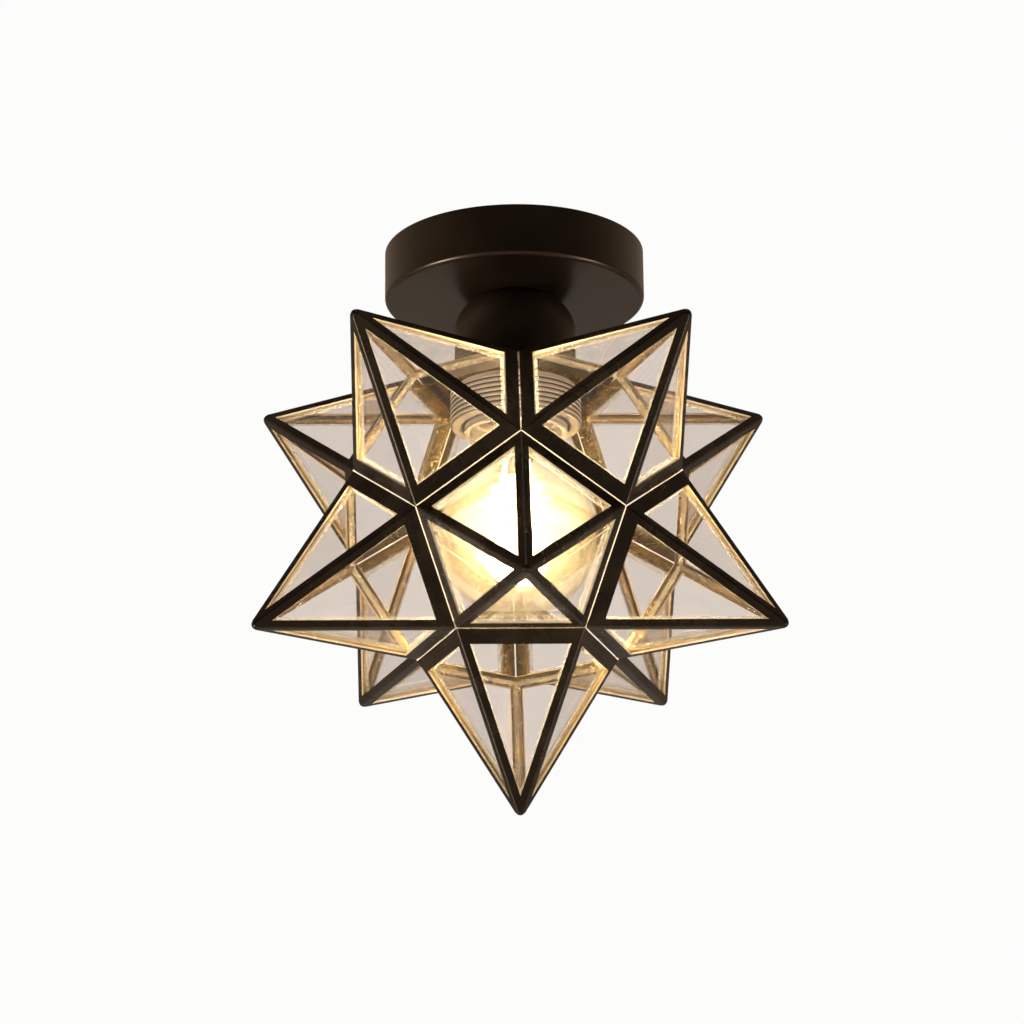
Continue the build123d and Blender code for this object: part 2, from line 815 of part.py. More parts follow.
def solder_joints():
    """One tack in the middle of every fixed edge, bridging the gap."""
    fixed = [name for name in axes if name != "door"]
    tack = Pos(0, -solder_inset, 0) * Box(solder_length, solder_depth, point_gap)
    joints = []
    for i, one in enumerate(fixed):
        for other in fixed[i + 1:]:
            if abs(axes[one].dot(axes[other]) - 1 / sqrt(5)) < 0.01:
                joints.append(single(joint_plane(one, other).location * tack))
    return joints


def top_plate():
    """Pentagon of sheet with a turned-down mitred rim and a round hole."""
    low = apothem - plate_depth
    plate = mitred_space() & tube(2 * face_inradius, 0, low, apothem)
    pocket_radius = low * tan(mitre) - point_gap / 2 / cos(mitre) - plate_rim
    pocket = Pos(0, 0, low) * RegularPolygon(pocket_radius, 5, major_radius=False)
    plate -= extrude(pocket, plate_depth - plate_sheet)
    plate -= tube(skirt_radius + plate_hole_clearance, 0, low, apothem)
    return single(seat("top") * single(plate))


# Hinge, in the groove between the bottom point and its neighbour
hinge_side = "lower_right_rear"
groove_half = pi / 2 - mitre
hinge_stand = hinge_barrel_radius + hinge_face_clearance
hinge_out = hinge_stand / sin(groove_half)


def hinge_section(side, with_knuckle):
    """Section of one leaf across the hinge: Y outwards, X towards the fixed neighbour."""
    along = Vector(side * sin(groove_half), cos(groove_half), 0)
    outward = Vector(-side * cos(groove_half), sin(groove_half), 0)
    foot = hinge_stand / tan(groove_half)
    start = foot if with_knuckle else foot + hinge_barrel_radius + hinge_leaf_clearance
    corners_ = [
        along * start,
        along * hinge_leaf_reach,
        along * hinge_leaf_reach + outward * hinge_leaf_thickness,
        along * start + outward * hinge_leaf_thickness,
    ]
    section = make_face(Polyline(*corners_, close=True))
    if with_knuckle:
        section += Pos(0, hinge_out) * Circle(hinge_barrel_radius)
    return section


def hinge_leaf(side, knuckles, bore):
    """Leaf along the whole hinge, with knuckles at the given places."""
    pitch = hinge_length / hinge_knuckle_count
    leaf = extrude(hinge_section(side, False), hinge_length / 2, both=True)
    for place in knuckles:
        start = -hinge_length / 2 + place * pitch
        gap_low = hinge_knuckle_gap if place > 0 else 0
        gap_high = hinge_knuckle_gap if place < hinge_knuckle_count - 1 else 0
        knuckle = extrude(hinge_section(side, True), pitch - gap_low - gap_high)
        leaf += Pos(0, 0, start + gap_low) * knuckle
    leaf -= Pos(0, hinge_out, 0) * Cylinder(bore, 2 * hinge_length)
    return single(leaf)


def hinge_place():
    """Frame of the hinge: X towards the neighbour, Y outwards, Z along the edge."""
    joint = joint_plane("door", hinge_side)
    return Plane(origin=joint.origin, x_dir=joint.z_dir, z_dir=joint.z_dir.cross(joint.y_dir)).location


def hinge():
    fixed_leaf = hinge_leaf(1, (0, 2), hinge_pin_radius + hinge_pin_fit / 2)
    door_leaf = hinge_leaf(-1, (1,), hinge_pin_radius + hinge_pin_fit)
    half = hinge_length / 2
    pin = Pos(0, hinge_out, 0) * Cylinder(hinge_pin_radius, hinge_length)
    for side in (-1, 1):
        head = Cylinder(hinge_pin_head_radius, hinge_pin_head_length)
        pin += Pos(0, hinge_out, side * (half + hinge_pin_head_length / 2)) * head
    place = hinge_place()
    return [single(place * piece) for piece in (fixed_leaf, door_leaf, single(pin))]


# Magnet catch, inside the star on the edge across from the hinge
catch_side = "lower_left_front"


def catch(door_walls):
    azimuth = lower_ring[catch_side]
    floor = star_centre - apothem + strip_sheet
    inner_edge = face_inradius - strip_sheet * tan(mitre)
    low = Pos(inner_edge + magnet_seat / 2, 0, floor) * Box(
        magnet_seat, magnet_length, magnet_height, align=(Align.CENTER, Align.CENTER, Align.MIN)
    )
    high = Pos(inner_edge - magnet_reach / 2, 0, floor + magnet_gap) * Box(
        magnet_reach + 2 * point_gap, magnet_length, magnet_height - magnet_gap,
        align=(Align.CENTER, Align.CENTER, Align.MIN),
    )
    magnet = Rot(0, 0, azimuth) * single(low + high)
    keeper = Pos(inner_edge - keeper_depth / 2, 0, floor) * Box(
        keeper_depth, magnet_length, keeper_thickness, align=(Align.CENTER, Align.CENTER, Align.MAX)
    )
    keeper = Rot(0, 0, azimuth) * keeper
    keeper -= door_walls
    keeper = keeper.solids().sort_by(SortBy.VOLUME)[-1]
    return magnet, keeper


write("canopy", canopy())
write("ceiling_bracket", bracket())
write("canopy_grub_screws", *grub_screws())
write("earth_screw", earth_screw())
write("earth_tag", earth_tag())
write("terminal_block", terminal_block())
write("terminal_screws", *terminal_screws())
write("threaded_tube", threaded_tube())
write("lock_nuts", nut(canopy_floor + washer_thickness), nut(nut_bottom))
write("lock_washer", tube(washer_radius, tube_radius + nut_fit, canopy_floor, canopy_floor + washer_thickness))
live_lead, neutral_lead = leads()
write("live_lead", live_lead)
write("neutral_lead", neutral_lead)
write("earth_lead", earth_lead())
write("neck", neck())
write("holder_cap", holder_cap())
write("holder_body", holder_body())
write("holder_insert", holder_insert())
write("holder_terminals", *holder_terminals())
write("screw_shell", screw_shell())
write("shade_ring", shade_ring())
write("centre_contact", centre_contact())
write("contact_spring", contact_spring())
write("bulb_glass", bulb_glass())
write("bulb_cap", bulb_cap())
write("bulb_insulator", bulb_insulator())
write("bulb_tip", bulb_tip())
write("bulb_stem", bulb_stem())
write("bulb_filaments", *filaments())
write("bulb_support_wires", *support_wires())

frame_pieces = point_frame()
pane_pieces = [pane(index) for index in range(5)]
for point in [*upper_ring, *lower_ring, "door"]:
    place = seat(point)
    write(f"{point}_frame", *[place * piece for piece in frame_pieces])
    write(f"{point}_glass", *[place * piece for piece in pane_pieces])
write("star_top_plate", top_plate())
write("solder_joints", *solder_joints())
leaf_fixed, leaf_door, hinge_pin = hinge()
write("hinge_leaf_fixed", leaf_fixed)
write("hinge_leaf_door", leaf_door)
write("hinge_pin", hinge_pin)
door_magnet, door_keeper = catch(seat("door") * point_walls())
write("door_magnet", door_magnet)
write("door_keeper", door_keeper)
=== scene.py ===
from math import atan, cos, pi, radians, sin, sqrt, tan

import bmesh
import bpy
from mathutils import Matrix, Vector


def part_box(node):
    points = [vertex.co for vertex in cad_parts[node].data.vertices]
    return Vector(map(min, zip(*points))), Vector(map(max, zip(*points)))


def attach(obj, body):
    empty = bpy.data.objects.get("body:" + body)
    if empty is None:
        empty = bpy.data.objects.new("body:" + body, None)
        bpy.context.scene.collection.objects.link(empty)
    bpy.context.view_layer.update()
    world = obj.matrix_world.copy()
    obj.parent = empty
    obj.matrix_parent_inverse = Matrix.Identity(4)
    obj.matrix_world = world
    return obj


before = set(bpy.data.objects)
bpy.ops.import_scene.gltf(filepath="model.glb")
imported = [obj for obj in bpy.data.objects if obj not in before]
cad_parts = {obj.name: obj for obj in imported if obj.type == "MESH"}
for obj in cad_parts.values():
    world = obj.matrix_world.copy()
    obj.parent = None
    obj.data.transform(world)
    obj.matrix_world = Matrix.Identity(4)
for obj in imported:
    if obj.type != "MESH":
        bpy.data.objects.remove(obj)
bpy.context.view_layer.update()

bl_info = {
    "name": "Star Ceiling Light",
    "version": (1, 0, 0),
    "blender": (4, 5, 0),
    "location": "3D Viewport > Sidebar > Star Light",
    "description": "Finishes a star ceiling light of glass panes in black and gold strips",
    "category": "Object",
}

MM = 0.001

# The star's points and their bearings round the light, in degrees
UPPER_RING = {
    "upper_back": 90,
    "upper_left_rear": 162,
    "upper_left_front": 234,
    "upper_right_front": 306,
    "upper_right_rear": 18,
}
LOWER_RING = {
    "lower_front": 270,
    "lower_right_front": 342,
    "lower_right_rear": 54,
    "lower_left_rear": 126,
    "lower_left_front": 198,
}
POINTS = [*UPPER_RING, *LOWER_RING, "door"]

# The star's build: the edge of its pentagons, and how its strips hold the panes
STAR_EDGE = 47.0 * MM
STRIP_SHEET = 0.8 * MM
RIDGE_FLANGE = 3.0 * MM
BASE_FLANGE = 6.0 * MM
GLASS_LAP = 1.0 * MM
PANE_THICKNESS = 2.0 * MM
LEAN = atan(0.5)
FACE_INRADIUS = STAR_EDGE / 2 / tan(radians(36))
APOTHEM = FACE_INRADIUS * (1 + sqrt(5)) / 2
SIDE_HEIGHT = 2 * FACE_INRADIUS / cos(LEAN)
STAR_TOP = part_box("star_top_plate")[1].z
STAR_MIDDLE = Vector((0, 0, STAR_TOP - APOTHEM))

# Depth of a face's plane from the star's middle: between these it turns into an outer or an inner face,
# and between the smaller ones it stops being a cut edge in a seam, where the strips carry a painted glow
FACE_DEPTH = (44 * MM, 47 * MM)
SEAM_DEPTH = (3 * MM, 4 * MM)

# Where the keeper of the opening point shuts its seam, so the painted seam glow is left off: heights over the
# lowest base, and places in front
KEEPER_RISE = (2 * MM, 3 * MM)
KEEPER_FRONT = (-28 * MM, -29 * MM)

# Taper and corners of the solder in a ridge, and share of a bead's height that is rounded
SEAM_TAPER = 0.8
SEAM_CORNERS = 10
BEAD_ROUNDING = 0.8

# The bulb's globe: its ridges fade in up its shoulder, and its bright core fades out there
GLOBE_RADIUS = 30 * MM
GLOBE_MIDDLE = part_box("bulb_glass")[0].z + GLOBE_RADIUS
RIDGE_PITCH = 3.4 * MM
RIDGES_START = GLOBE_MIDDLE + 8 * MM
RIDGES_FULL = GLOBE_MIDDLE + 24 * MM
CORE_FULL = GLOBE_MIDDLE + 4 * MM
CORE_END = GLOBE_MIDDLE + 22 * MM
BULB_LIGHT_RADIUS = 12 * MM

# The camera's place in metres, its turns in radians and its lens in millimetres
CAMERA_PLACE = (-0.0329, -1.1571, -0.4780)
CAMERA_YAW = -0.0268
CAMERA_PITCH = 0.3120
CAMERA_ROLL = -0.0108
CAMERA_LENS = 113.1

# Soft studio lamps: place and width in metres, power in watts, all aimed at the middle of the light
STUDIO_LAMPS = {
    "high_card": ((0.1, -0.5, 1.3), 0.5, 2.5),
    "low_left": ((-1.32, -0.42, -0.95), 0.42, 21.0),
    "low_right": ((1.32, -0.45, -0.95), 0.36, 8.0),
    "under_card": ((0.0, -0.35, -1.45), 0.4, 2.0),
}
STUDIO_AIM = Vector((0, 0, -0.08))
STUDIO_COLOUR = (1.0, 0.9, 0.79)


class Wire:
    """One output of a shader node; sums on it add Math nodes."""

    def __init__(self, finish, socket):
        self.finish = finish
        self.socket = socket

    def math(self, operation, first, second):
        return self.finish.add("ShaderNodeMath", {"operation": operation}, {0: first, 1: second})

    def sine(self):
        return self.math("SINE", self, 0.0)

    def __add__(self, other):
        return self.math("ADD", self, other)

    def __radd__(self, other):
        return self.math("ADD", other, self)

    def __sub__(self, other):
        return self.math("SUBTRACT", self, other)

    def __rsub__(self, other):
        return self.math("SUBTRACT", other, self)

    def __mul__(self, other):
        return self.math("MULTIPLY", self, other)

    def __rmul__(self, other):
        return self.math("MULTIPLY", other, self)

    def __truediv__(self, other):
        return self.math("DIVIDE", self, other)

    def __pow__(self, other):
        return self.math("POWER", self, other)


class Finish:
    """A material's or the world's node tree, built a node at a time."""

    def __init__(self, owner):
        owner.use_nodes = True
        self.owner = owner
        self.tree = owner.node_tree
        self.tree.nodes.clear()

    def add(self, kind, settings=None, sockets=None, out=0):
        """Adds a node: its settings first, then the values or links of its sockets."""
        node = self.tree.nodes.new(kind)
        for name, value in (settings or {}).items():
            setattr(node, name, value)
        for name, value in (sockets or {}).items():
            if isinstance(value, Wire):
                self.tree.links.new(value.socket, node.inputs[name])
            elif hasattr(node.inputs[name].default_value, "__len__") and len(value) == 3:
                default = node.inputs[name].default_value
                node.inputs[name].default_value = (*value, 1) if len(default) == 4 else value
            else:
                node.inputs[name].default_value = value
        return Wire(self, node.outputs[out]) if len(node.outputs) else None

    def place(self):
        return self.add("ShaderNodeTexCoord", out="Object")

    def along(self, vector, axis):
        """One coordinate of a vector."""
        return self.add("ShaderNodeSeparateXYZ", None, {0: vector}, out=axis)

    def stretch(self, vector, scale):
        return self.add("ShaderNodeVectorMath", {"operation": "MULTIPLY"}, {0: vector, 1: scale})

    def noise(self, vector, scale, detail=3.0, roughness=0.5):
        sockets = {"Vector": vector, "Scale": scale, "Detail": detail, "Roughness": roughness}
        return self.add("ShaderNodeTexNoise", None, sockets)

    def fade(self, value, start, end, low=0.0, high=1.0):
        """Goes smoothly from low at start to high at end."""
        sockets = {"Value": value, "From Min": start, "From Max": end, "To Min": low, "To Max": high}
        return self.add("ShaderNodeMapRange", {"interpolation_type": "SMOOTHSTEP"}, sockets)

    def blend(self, factor, first, second):
        settings = {"data_type": "RGBA", "clamp_factor": True}
        return self.add("ShaderNodeMix", settings, {0: factor, 6: first, 7: second}, out=2)

    def turned(self, vector, angles):
        """Turns a pattern's place about the three axes, by degrees."""
        sockets = {"Vector": vector, "Rotation": tuple(radians(angle) for angle in angles)}
        return self.add("ShaderNodeMapping", {"vector_type": "POINT"}, sockets)

    def highest(self, first, *others):
        """The largest of several values."""
        for other in others:
            first = first.math("MAXIMUM", first, other)
        return first

    def bump(self, height, strength, distance):
        sockets = {"Strength": strength, "Distance": distance, "Height": height}
        return self.add("ShaderNodeBump", None, sockets)

    def mixed(self, factor, first, second):
        return self.add("ShaderNodeMixShader", None, {0: factor, 1: first, 2: second})

    def surface(self, shader):
        self.add("ShaderNodeOutputMaterial", None, {"Surface": shader})
        return self.owner

    def principled(self, **sockets):
        named = {name.replace("_", " "): value for name, value in sockets.items()}
        return self.surface(self.add("ShaderNodeBsdfPrincipled", None, named))


def new_finish(name):
    """A new material's node tree, and its place on the piece."""
    finish = Finish(bpy.data.materials.new(name))
    return finish, finish.place()


def dimmed(colour, share):
    return tuple(channel * share for channel in colour)


def wear(material, *nodes):
    """Gives CAD pieces a material."""
    for node in nodes:
        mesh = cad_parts[node].data
        if mesh.materials:
            for index in range(len(mesh.materials)):
                mesh.materials[index] = material
        else:
            mesh.materials.append(material)


def depth_of(finish, place):
    """Depth of a surface's plane from the star's middle: positive if it faces out, negative if in."""
    facing = finish.add("ShaderNodeTexCoord", out="Normal")
    arm = finish.add("ShaderNodeVectorMath", {"operation": "SUBTRACT"}, {0: place, 1: STAR_MIDDLE})
    sockets = {0: facing, 1: arm}
    return finish.add("ShaderNodeVectorMath", {"operation": "DOT_PRODUCT"}, sockets, out="Value")


def painted_seam_mask(finish, place):
    """Where the painted seam glow goes, standing in for light that leaks through the seams, but not past the
    keeper of the opening point.
    """
    lowest_base = STAR_MIDDLE.z - APOTHEM
    full, none = KEEPER_RISE
    low = finish.fade(finish.along(place, "Z"), lowest_base + none, lowest_base + full)
    front = finish.fade(finish.along(place, "Y"), *KEEPER_FRONT)
    return 1.0 - low * front


def strip_finish(name, look, gold, cut_edge, glow):
    """Black patina outside, scratched gold inside, another colour on the sheet's cut edges, and a painted
    glow on the cut edges in the seams.
    """
    finish, place = new_finish(name)
    depth = depth_of(finish, place)
    near, far = FACE_DEPTH
    outside = finish.fade(depth, near, far)
    inside = finish.fade(depth, -near, -far)
    thin, thick = SEAM_DEPTH
    # Painted light: the cut edges in the seams glow by emission, standing in for the bulb's light through the
    # gaps.
    seam = finish.fade(depth, thick, thin) * finish.fade(depth, -thick, -thin) * painted_seam_mask(finish, place)
    clouds = finish.noise(place, scale=55.0, detail=4.0, roughness=0.6)
    stains = finish.noise(place, scale=170.0, detail=5.0, roughness=0.65)
    brushed = (60.0, 1700.0, 1700.0)
    strokes = [
        finish.noise(finish.stretch(finish.turned(place, angles), brushed), scale=1.0, detail=2.0)
        for angles in ((20, 35, 50), (70, -25, 10), (-35, 60, 80))
    ]
    scratches = finish.highest(*[finish.fade(stroke, 0.58, 0.66) for stroke in strokes])
    grain = (strokes[0] + strokes[1] + strokes[2]) / 3.0
    patina = finish.blend(finish.fade(clouds, 0.42, 0.7), look.patina, look.patina_worn)
    gold = finish.blend(finish.fade(stains, 0.38, 0.66), gold, look.aged_gold_and_shade)
    gold = finish.blend(scratches * 0.85, gold, look.gold_scratch)
    colour = finish.blend(outside, finish.blend(inside, cut_edge, gold), patina)
    return finish.principled(
        Base_Color=colour,
        Metallic=inside + (1.0 - inside - outside) * 0.25,
        Roughness=outside * (0.22 + clouds * 0.1) + (1.0 - outside) * (0.14 + stains * 0.22),
        Normal=finish.bump(grain + clouds * 0.6, strength=0.35, distance=0.4 * MM),
        Specular_Tint=(1.0, 0.85, 0.66),
        # Painted glow on the seam faces, which are no lamp.
        Emission_Color=finish.blend(seam, (0, 0, 0), look.painted_seam_glow),
        Emission_Strength=glow,
        Specular_IOR_Level=0.3,
    )


def solder_finish(look):
    """Tin between the points, with the same painted glow as the seams, standing in for light through them."""
    finish, place = new_finish("seam_solder")
    clouds = finish.noise(place, scale=400.0)
    return finish.principled(
        Base_Color=finish.blend(clouds, look.cut_edge, dimmed(look.cut_edge, 0.8)),
        Metallic=0.4,
        Roughness=0.35 + clouds * 0.15,
        # Painted glow: the solder emits light, though it is no lamp.
        Emission_Color=finish.blend(painted_seam_mask(finish, place), (0, 0, 0), look.painted_seam_glow),
        Emission_Strength=0.8,
    )


def silicone_finish(look):
    """Clear silicone with pale clouds that take the bulb's light and pass it on."""
    finish, place = new_finish("glazing_silicone")
    clouds = finish.noise(place, scale=260.0)
    clear = finish.add("ShaderNodeBsdfTransparent", None, {"Color": look.silicone_clear})
    lit = finish.add("ShaderNodeBsdfTranslucent", None, {"Color": look.silicone})
    gloss = finish.add("ShaderNodeBsdfGlossy", None, {"Color": (1, 1, 1), "Roughness": 0.15})
    skin = finish.mixed(0.05, lit, gloss)
    return finish.surface(finish.mixed(finish.fade(clouds, 0.35, 0.7, low=0.18, high=0.3), clear, skin))


def glass_finish(name, tint, haze, ripple, veil=(1.0, 0.97, 0.92), roughness=0.02, ridges=0.0, core=0.0):
    """Thin clear glass: it tints what is behind it, mirrors at a slant, and has a faint haze.

    Ridges are the blown glass's rings near its neck. Core gathers the haze where the glass is seen square on.
    """
    finish, place = new_finish(name)
    slant = finish.add("ShaderNodeLayerWeight", None, {"Blend": 0.5}, out="Facing")
    mirror = 0.04 + 0.9 * slant ** 5.0
    height = finish.noise(place, scale=ripple, detail=2.0)
    smear = haze * (0.6 + 0.8 * finish.noise(place, scale=30.0, detail=5.0, roughness=0.65))
    up = finish.along(place, "Z")
    if ridges:
        shoulder = finish.fade(up, RIDGES_START, RIDGES_FULL)
        wave = (up * (2 * pi / RIDGE_PITCH)).sine()
        height = height + wave * shoulder * ridges
        smear = smear * (1.0 - shoulder * (0.5 - wave * 0.45))
    if core:
        smear = smear + core * (1.0 - slant) ** 3.0 * finish.fade(up, CORE_END, CORE_FULL)
    waves = finish.bump(height, strength=0.15, distance=0.8 * MM)
    clear = finish.add("ShaderNodeBsdfTransparent", None, {"Color": tint})
    sockets = {"Color": (1, 1, 1), "Roughness": roughness, "Normal": waves}
    gloss = finish.add("ShaderNodeBsdfGlossy", None, sockets)
    haze_light = finish.add("ShaderNodeBsdfTranslucent", None, {"Color": veil})
    return finish.surface(finish.mixed(smear, finish.mixed(mirror, clear, gloss), haze_light))


def lacquer_finish(name, look, roughness):
    """Satin black-brown lacquer with a faint orange peel."""
    finish, place = new_finish(name)
    clouds = finish.noise(place, scale=22.0, detail=4.0, roughness=0.55)
    peel = finish.noise(place, scale=900.0, detail=2.0)
    return finish.principled(
        Base_Color=finish.blend(finish.fade(clouds, 0.35, 0.7), look.lacquer, look.lacquer_warm),
        Metallic=0.0,
        Roughness=roughness + clouds * 0.08,
        Normal=finish.bump(peel, strength=0.05, distance=0.1 * MM),
        Specular_Tint=(1.0, 0.76, 0.58),
        Specular_IOR_Level=0.56,
    )


def metal_finish(name, colour, dark, roughness):
    """Bare metal with fine marks and slightly uneven shine."""
    finish, place = new_finish(name)
    marks = finish.noise(finish.stretch(place, (1.0, 1.0, 6.0)), scale=400.0, roughness=0.6)
    clouds = finish.noise(place, scale=50.0)
    return finish.principled(
        Base_Color=finish.blend(finish.fade(clouds, 0.35, 0.7), colour, dark),
        Metallic=1.0,
        Roughness=roughness + marks * 0.15,
        Normal=finish.bump(marks, strength=0.08, distance=0.1 * MM),
    )


def moulded_finish(name, colour, dark, roughness):
    """Moulded plastic, ceramic or insulation, with a fine skin and slight unevenness."""
    finish, place = new_finish(name)
    clouds = finish.noise(place, scale=60.0, detail=4.0, roughness=0.6)
    skin = finish.noise(place, scale=1400.0, detail=2.0)
    return finish.principled(
        Base_Color=finish.blend(finish.fade(clouds, 0.35, 0.75), colour, dark),
        Roughness=roughness + clouds * 0.1,
        Normal=finish.bump(skin, strength=0.06, distance=0.1 * MM),
    )


def ribbed_finish(look):
    """Moulded shade ring: pale on the crests of its ribs and dark in the grooves as painted shade, with
    painted shade below on the faces toward the bulb and a painted glow on the rest.
    """
    finish, place = new_finish("shade_ring_plastic")
    # Painted shade and highlight: the colour follows the ribs' height, dark in the grooves and pale on the
    # crests.
    wave = (finish.along(place, "Z") * (2 * pi / look.rib_pitch)).sine()
    clouds = finish.noise(place, scale=80.0)
    skin = finish.noise(place, scale=1400.0, detail=2.0)
    ribs = finish.blend(finish.fade(wave, -0.7, 0.8), look.holder_groove_shade, look.holder_plastic)
    ribs = finish.blend(finish.fade(clouds, 0.4, 0.8) * 0.4, ribs, look.holder_groove_shade)
    # Painted shade: faces toward the bulb are darkened against its light.
    below = finish.fade(depth_of(finish, place), 0.0, -6 * MM)
    return finish.principled(
        Base_Color=finish.blend(below, ribs, look.holder_painted_shade),
        Roughness=0.45 + clouds * 0.1,
        # Painted glow: the ring emits its rib colours on faces away from the bulb, standing in for light
        # through the plastic.
        Emission_Color=finish.blend(below, ribs, (0, 0, 0)),
        Emission_Strength=look.holder_painted_glow,
        Normal=finish.bump(skin, strength=0.06, distance=0.1 * MM),
    )


def glow_finish(look):
    """Yellow coating of the lit filaments."""
    finish, place = new_finish("filament_coating")
    beads = finish.noise(finish.stretch(place, (1.0, 1.0, 2.0)), scale=500.0, detail=1.0)
    return finish.principled(
        Base_Color=finish.blend(beads, (1.0, 0.8, 0.42), (1.0, 0.7, 0.3)),
        Roughness=0.5,
        Emission_Color=finish.blend(beads, look.lamp_colour, (1.0, 0.9, 0.7)),
        Emission_Strength=look.filament_glow,
    )


def ring_tilt(name):
    """Direction in which a point of the star looks, and the direction of one of its base's corners."""
    if name == "door":
        return Vector((0, 0, -1)), Vector((0, 1, 0))
    upper = name in UPPER_RING
    azimuth = radians(UPPER_RING[name] if upper else LOWER_RING[name])
    rise = LEAN if upper else -LEAN
    level = Vector((cos(azimuth), sin(azimuth), 0))
    axis = level * cos(rise) + Vector((0, 0, sin(rise)))
    corner = level * sin(LEAN) + Vector((0, 0, -cos(LEAN) if upper else cos(LEAN)))
    return axis, corner


def frame_of(origin, x_axis, z_axis):
    """Matrix that carries a shape from its own axes to a place on the star."""
    y_axis = z_axis.cross(x_axis)
    turn = Matrix((x_axis, y_axis, z_axis)).transposed().to_4x4()
    return Matrix.Translation(origin) @ turn


def pane_window(name, side):
    """Matrix that carries a shape from a pane's own plane, base along X and ridges above, to its place."""
    axis, corner = ring_tilt(name)
    point = frame_of(STAR_MIDDLE, corner, axis)
    angle = radians(36 + 72 * side)
    origin = Vector((FACE_INRADIUS * cos(angle), FACE_INRADIUS * sin(angle), APOTHEM))
    outward = Vector((cos(LEAN) * cos(angle), cos(LEAN) * sin(angle), sin(LEAN)))
    return point @ frame_of(origin, Vector((-sin(angle), cos(angle), 0)), outward)


def window(ridge_gap, base_gap, level):
    """Corners of a triangle on a pane's plane, at its own distances from the ridges and from the base."""
    half = STAR_EDGE / 2
    inset = ridge_gap / cos(atan(half / SIDE_HEIGHT))
    reach = half * (1 - base_gap / SIDE_HEIGHT) - inset
    return (-reach, base_gap, level), (reach, base_gap, level), (0, SIDE_HEIGHT * (1 - inset / half), level)


def flat_place(corner):
    """Place on a pane's plane, rounded so that equal corners match."""
    return round(corner[0], 7), round(corner[1], 7)


def bead_loop(outer, inner, height, rounding):
    """Closed bead of a given height between two triangles, rounded along its free inner edge."""
    part = bmesh.new()
    loops = []
    for corners in (outer, inner):
        verts = [part.verts.new(corner) for corner in corners]
        loops.append([part.edges.new((verts[i], verts[(i + 1) % 3])) for i in range(3)])
    free = {flat_place(corner) for corner in inner}
    made = bmesh.ops.bridge_loops(part, edges=loops[0] + loops[1])
    bmesh.ops.recalc_face_normals(part, faces=made["faces"])
    if part.faces[:][0].normal.z < 0:
        bmesh.ops.reverse_faces(part, faces=part.faces)
    bmesh.ops.solidify(part, geom=part.faces[:], thickness=height)
    deep = min(v.co.z for v in part.verts)
    rims = [
        edge
        for edge in part.edges
        if all(flat_place(v.co) in free and v.co.z < deep + 1e-7 for v in edge.verts)
    ]
    bmesh.ops.bevel(part, geom=rims, offset=rounding, affect="EDGES", segments=3, profile=0.5, material=-1)
    bmesh.ops.recalc_face_normals(part, faces=part.faces)
    return part


def joined(part, shape, place):
    """Adds one finished bmesh to another, moved to its place."""
    part.transform(place)
    mesh = bpy.data.meshes.new("part")
    part.to_mesh(mesh)
    part.free()
    shape.from_mesh(mesh)
    bpy.data.meshes.remove(mesh)


def new_piece(name, body, shape, sharp):
    """Makes an object of a finished bmesh, and gives it its body."""
    mesh = bpy.data.meshes.new(name)
    shape.to_mesh(mesh)
    shape.free()
    mesh.shade_smooth()
    mesh.set_sharp_from_angle(angle=radians(sharp))
    piece = bpy.data.objects.new(name, mesh)
    bpy.context.scene.collection.objects.link(piece)
    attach(piece, body)
    return piece


def bead_piece(name, body, look):
    """Silicone round every pane of one point: up the glass's edge and over the border of its inner face."""
    shape = bmesh.new()
    pane_ridge = RIDGE_FLANGE - GLASS_LAP
    pane_base = BASE_FLANGE - GLASS_LAP
    lip = look.bead_lip
    border = window(pane_ridge, pane_base, -STRIP_SHEET)
    back = -STRIP_SHEET - PANE_THICKNESS
    for side in range(5):
        place = pane_window(name, side)
        edge = window(pane_ridge - lip, pane_base - lip, -STRIP_SHEET)
        rim = bead_loop(edge, border, PANE_THICKNESS, lip / 4)
        joined(rim, shape, place)
        face = bead_loop(
            window(pane_ridge - lip, pane_base - lip, back),
            window(RIDGE_FLANGE + look.bead_ridge, BASE_FLANGE + look.bead_base, back),
            look.bead_height,
            look.bead_height * BEAD_ROUNDING,
        )
        joined(face, shape, place)
    return new_piece(f"{name}_beads", body, shape, sharp=50)


def seam_piece(name, body, look):
    """Solder run along the inner corner of every ridge of one point."""
    shape = bmesh.new()
    axis, corner = ring_tilt(name)
    point = frame_of(STAR_MIDDLE, corner, axis)
    height = SIDE_HEIGHT * cos(LEAN)
    wide = STAR_EDGE / 2 / sin(radians(36))
    for side in range(5):
        angle = radians(72 * side)
        out = Vector((cos(angle), sin(angle), 0))
        foot = out * wide + Vector((0, 0, APOTHEM))
        tip = Vector((0, 0, APOTHEM + height))
        along = (tip - foot).normalized()
        inward = (-out + along * out.dot(along)).normalized()
        start = foot + inward * look.seam_inset + along * look.seam_start
        end = foot + inward * look.seam_inset + along * ((tip - foot).length - look.seam_stop)
        part = bmesh.new()
        turn = frame_of((start + end) / 2, inward, along)
        bmesh.ops.create_cone(
            part,
            cap_ends=True,
            segments=SEAM_CORNERS,
            radius1=look.seam_radius,
            radius2=look.seam_radius * SEAM_TAPER,
            depth=(end - start).length,
            matrix=turn,
        )
        joined(part, shape, point)
    return new_piece(f"{name}_seams", body, shape, sharp=60)


